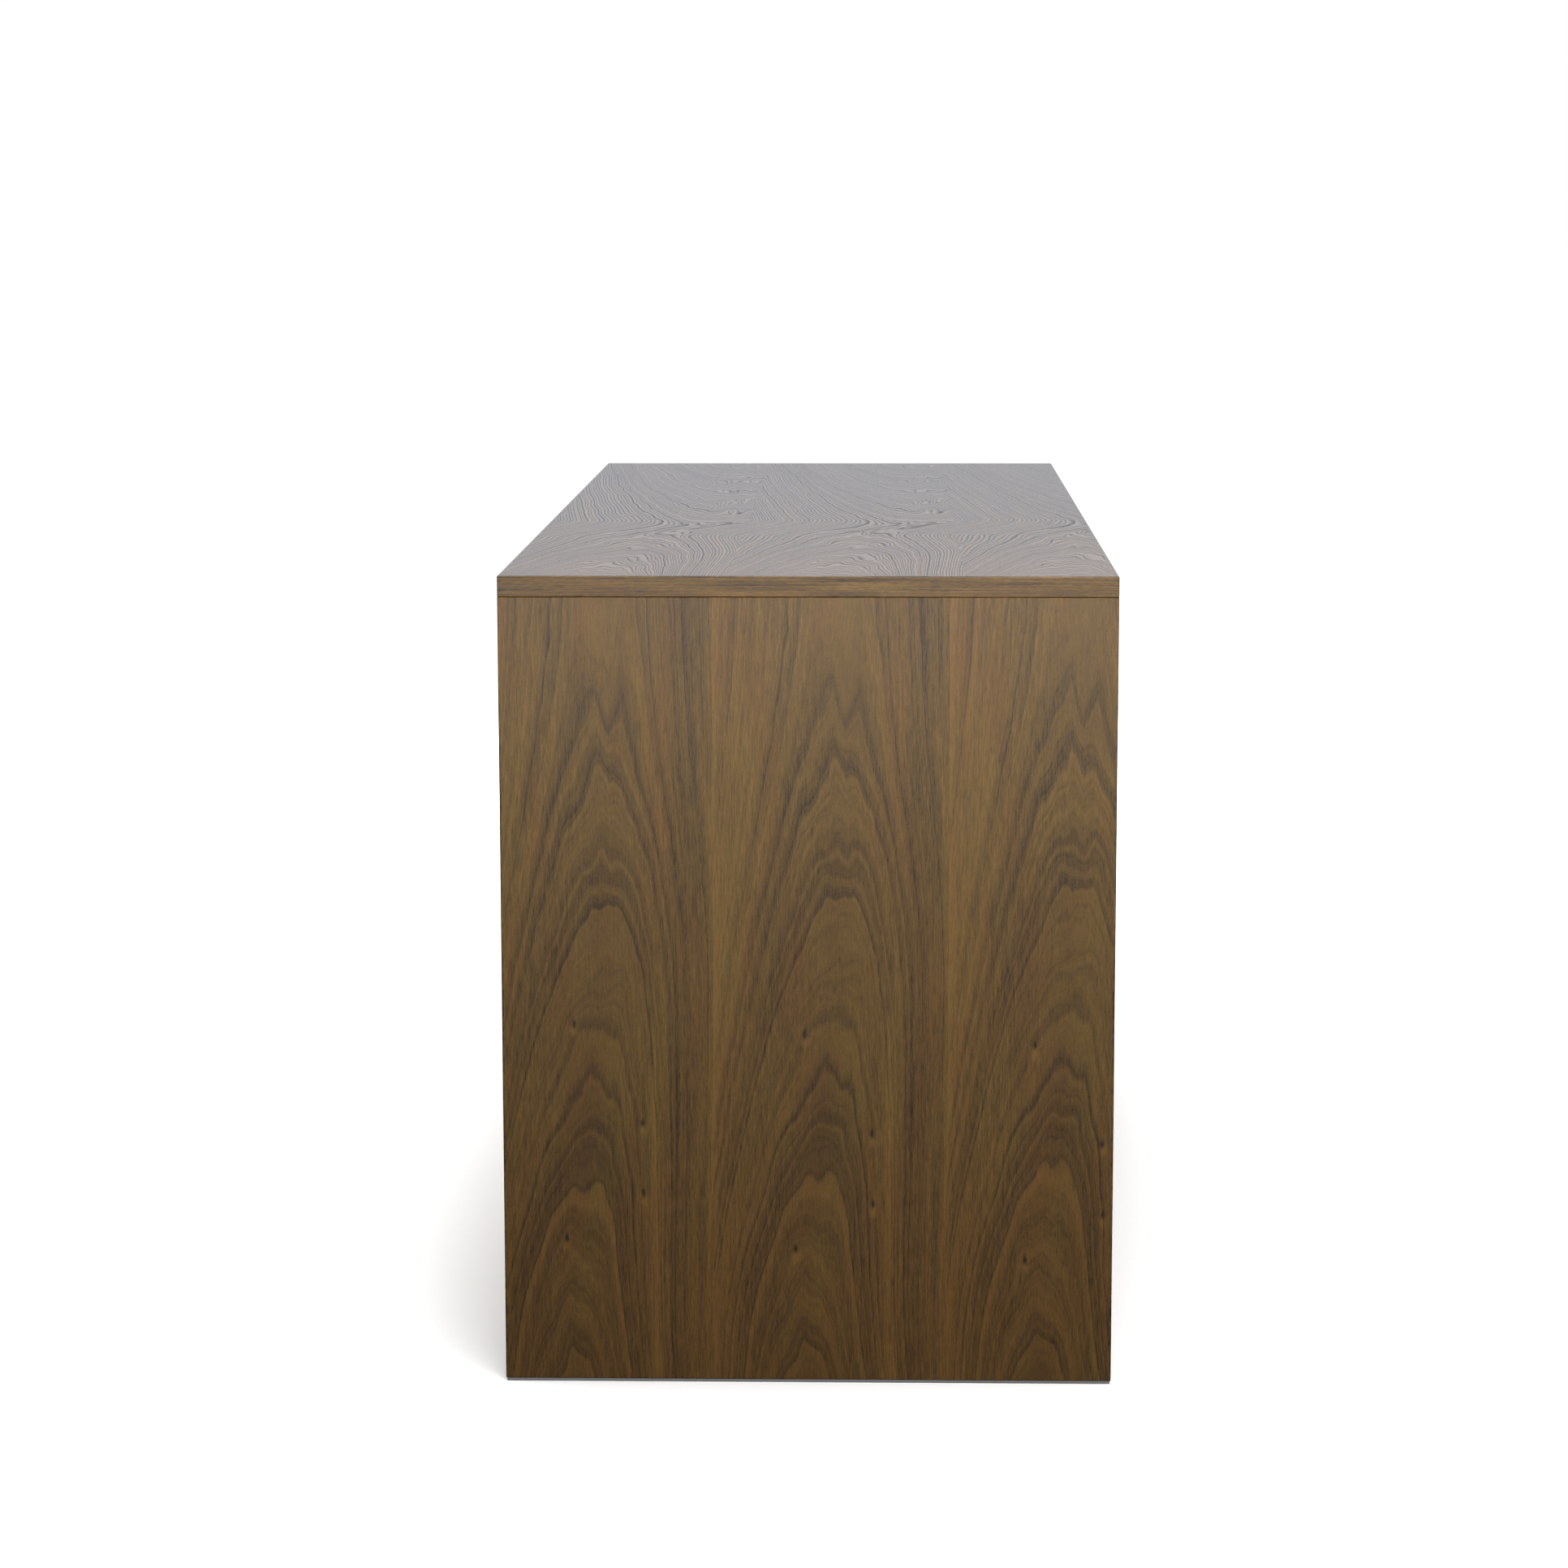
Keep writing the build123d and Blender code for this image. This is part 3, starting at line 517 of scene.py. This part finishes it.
dress(
    metal("zinc_plate", (0.62, 0.63, 0.64), 0.32),
    "cam_bolts",
    "divider_screws",
    "back_panel_screws",
    "cabinet_rail_screws",
    "door_catch_screws",
    *both("drawer_cabinet_rails", "drawer_middle_rails", "drawer_box_rails", "drawer_screws"),
    *both("door_strike_plate", "door_strike_screws"),
)
dress(
    metal("ball_steel", (0.58, 0.58, 0.6), 0.22),
    *both("drawer_outer_ball_cages", "drawer_inner_ball_cages"),
)
dress(metal("cam_zinc", (0.5, 0.5, 0.52), 0.45), "cam_housings")
dress(metal("pin_steel", (0.5, 0.5, 0.52), 0.28, along="z"), *both("door_pivot_pins"))
dress(metal("magnet_steel", (0.3, 0.3, 0.32), 0.4), "door_catch_magnets")
dress(plastic("glide_grey", (0.33, 0.32, 0.31), 0.7, grain=0.9), "glide_strips")
dress(
    plastic("nylon_brown", (0.035, 0.026, 0.02), 0.45),
    "door_pivot_bushes",
    "door_catches",
)


# Floor: wide and pale, and it glows, so that it is white but for soft shadows round the unit. The
# glow is painted light, dimmest at the unit's footprint, so part of those soft shadows is painted
# shadow over the real one.
FLOOR_REACH = 60.0
floor_mesh = bpy.data.meshes.new("floor")
corners = [(x * FLOOR_REACH, y * FLOOR_REACH, 0) for x, y in ((-1, -1), (1, -1), (1, 1), (-1, 1))]
floor_mesh.from_pydata(corners, [], [(0, 1, 2, 3)])
floor = bpy.data.objects.new("floor", floor_mesh)
scene.collection.objects.link(floor)
floor_look = Shader("floor_white")
paper = floor_look.noise(floor_look.x / 900.0, floor_look.y / 900.0)
white = floor_look.blend(paper, (0.93, 0.93, 0.93), (0.95, 0.95, 0.95))
floor_mesh.materials.append(floor_look.finish(white, 0.9, Specular_IOR_Level=0.0))
# How far a place is from the unit's footprint, in millimetres
beside = (floor_look.x.absolute() - cad_high.x * MM).at_least(0.0)
before = (floor_look.y.absolute() - cad_high.y * MM).at_least(0.0)
away = (beside * beside + before * before).sqrt()
# Painted shadow: the glow is lowest next to the footprint and rises over 200 mm. Past 300 mm it
# rises further, as painted light that makes the far floor white.
painted_shadow_glow = floor_look.range(away, 0.0, 200.0, 0.18, 0.48)
painted_light_and_shadow = painted_shadow_glow + floor_look.range(away, 300.0, 3000.0, 0.0, 0.6)
floor_look.join(
    floor_look.principled.inputs["Emission Color"], floor_look.vector(painted_light_and_shadow, painted_light_and_shadow, painted_light_and_shadow)
)
floor_look.principled.inputs["Emission Strength"].default_value = 1.0
floor.location.z = cad_low.z
floor.visible_diffuse = False
floor.visible_glossy = False

# World: dim and lighter overhead, but white where the camera sees it
SKY = ((0.0, 0.02), (0.46, 0.02), (0.54, 0.03), (0.68, 0.06), (0.8, 0.25))  # from below to above
SKY_BLUE = 1.01  # blue against red and green
world = bpy.data.worlds.new("studio")
scene.world = world
world.use_nodes = True
sky = Nodes(world.node_tree)
upward = sky.split(sky.source("ShaderNodeTexCoord", "Generated"))[2]
light = sky.ramp(
    sky.range(upward, -1.0, 1.0, kind="LINEAR"),
    [(position, (grey, grey, grey * SKY_BLUE)) for position, grey in SKY],
)
seen = sky.source("ShaderNodeLightPath", "Is Camera Ray")
background = world.node_tree.nodes["Background"]
sky.join(background.inputs["Color"], sky.blend(seen, light, (1.0, 1.0, 1.0)))

# Softboxes. The fills give light without a reflection, and the cards only show as reflections.
end_x = cad_high.x
WHITE = (1.0, 1.0, 1.0)
COOL = (0.93, 1.0, 1.12)
# Name, place, the point it faces, width and height in metres, watts, and colour
SOFTBOXES = (
    ("low_card", (end_x + 6.0, 0.3, 0.9), (end_x, 0.3, 0.9), (4.5, 1.2), 99.0, WHITE),
    ("key", (end_x + 1.25, 0.45, 2.0), (end_x, 0.0, 0.6), (1.2, 0.8), 46.0, WHITE),
    ("front_fill", (-0.5, -3.0, 1.25), (0.0, 0.0, 0.4), (2.4, 1.2), 85.0, WHITE),
    ("front_card", (0.0, -6.0, 0.8), (0.0, 0.0, 0.6), (5.0, 1.2), 80.0, WHITE),
    ("rear_fill", (-0.5, 3.0, 1.25), (0.0, 0.0, 0.4), (2.4, 1.2), 65.0, WHITE),
    ("left_fill", (-3.6, -0.4, 1.1), (-0.7, 0.0, 0.4), (1.6, 1.2), 60.0, WHITE),
    ("card", (-6.0, 0.0, 1.4), (0.0, 0.0, 1.0), (12.0, 3.6), 155.0, COOL),
)
for name, place, target, (width, height), watts, colour in SOFTBOXES:
    softbox = bpy.data.lights.new(name, "AREA")
    softbox.shape = "RECTANGLE"
    softbox.size, softbox.size_y = width, height
    softbox.energy = watts
    softbox.color = colour
    lamp = bpy.data.objects.new(name, softbox)
    scene.collection.objects.link(lamp)
    lamp.location = place
    lamp.rotation_euler = (Vector(target) - Vector(place)).to_track_quat("-Z", "Y").to_euler()
    lamp.visible_camera = False
    lamp.visible_diffuse = not name.endswith("card")
    lamp.visible_glossy = not name.endswith("fill")

# Camera: at the end of the unit, a little above it, looking along its length
SENSOR = 36.0
LENS = 91.51
CAMERA_PLACE = (end_x + 3.5046, 0.0658, 1.0774)
YAW, PITCH, ROLL = (math.radians(angle) for angle in (1.419, 8.547, -0.077))
camera_data = bpy.data.cameras.new("camera")
camera_data.sensor_width = SENSOR
camera_data.lens = LENS
camera_data.clip_start, camera_data.clip_end = 0.1, 200.0
camera = bpy.data.objects.new("camera", camera_data)
scene.collection.objects.link(camera)
level_ahead = Vector((-math.cos(YAW), -math.sin(YAW), 0.0))
ahead = level_ahead * math.cos(PITCH) + Vector((0.0, 0.0, -math.sin(PITCH)))
level_right = Vector((-math.sin(YAW), math.cos(YAW), 0.0))
level_up = level_right.cross(ahead)
right = level_right * math.cos(ROLL) + level_up * math.sin(ROLL)
up = level_up * math.cos(ROLL) - level_right * math.sin(ROLL)
camera.matrix_world = Matrix.Translation(CAMERA_PLACE) @ Matrix(
    ((right.x, up.x, -ahead.x), (right.y, up.y, -ahead.y), (right.z, up.z, -ahead.z))
).to_4x4()
scene.camera = camera
scene.view_settings.view_transform = "Standard"
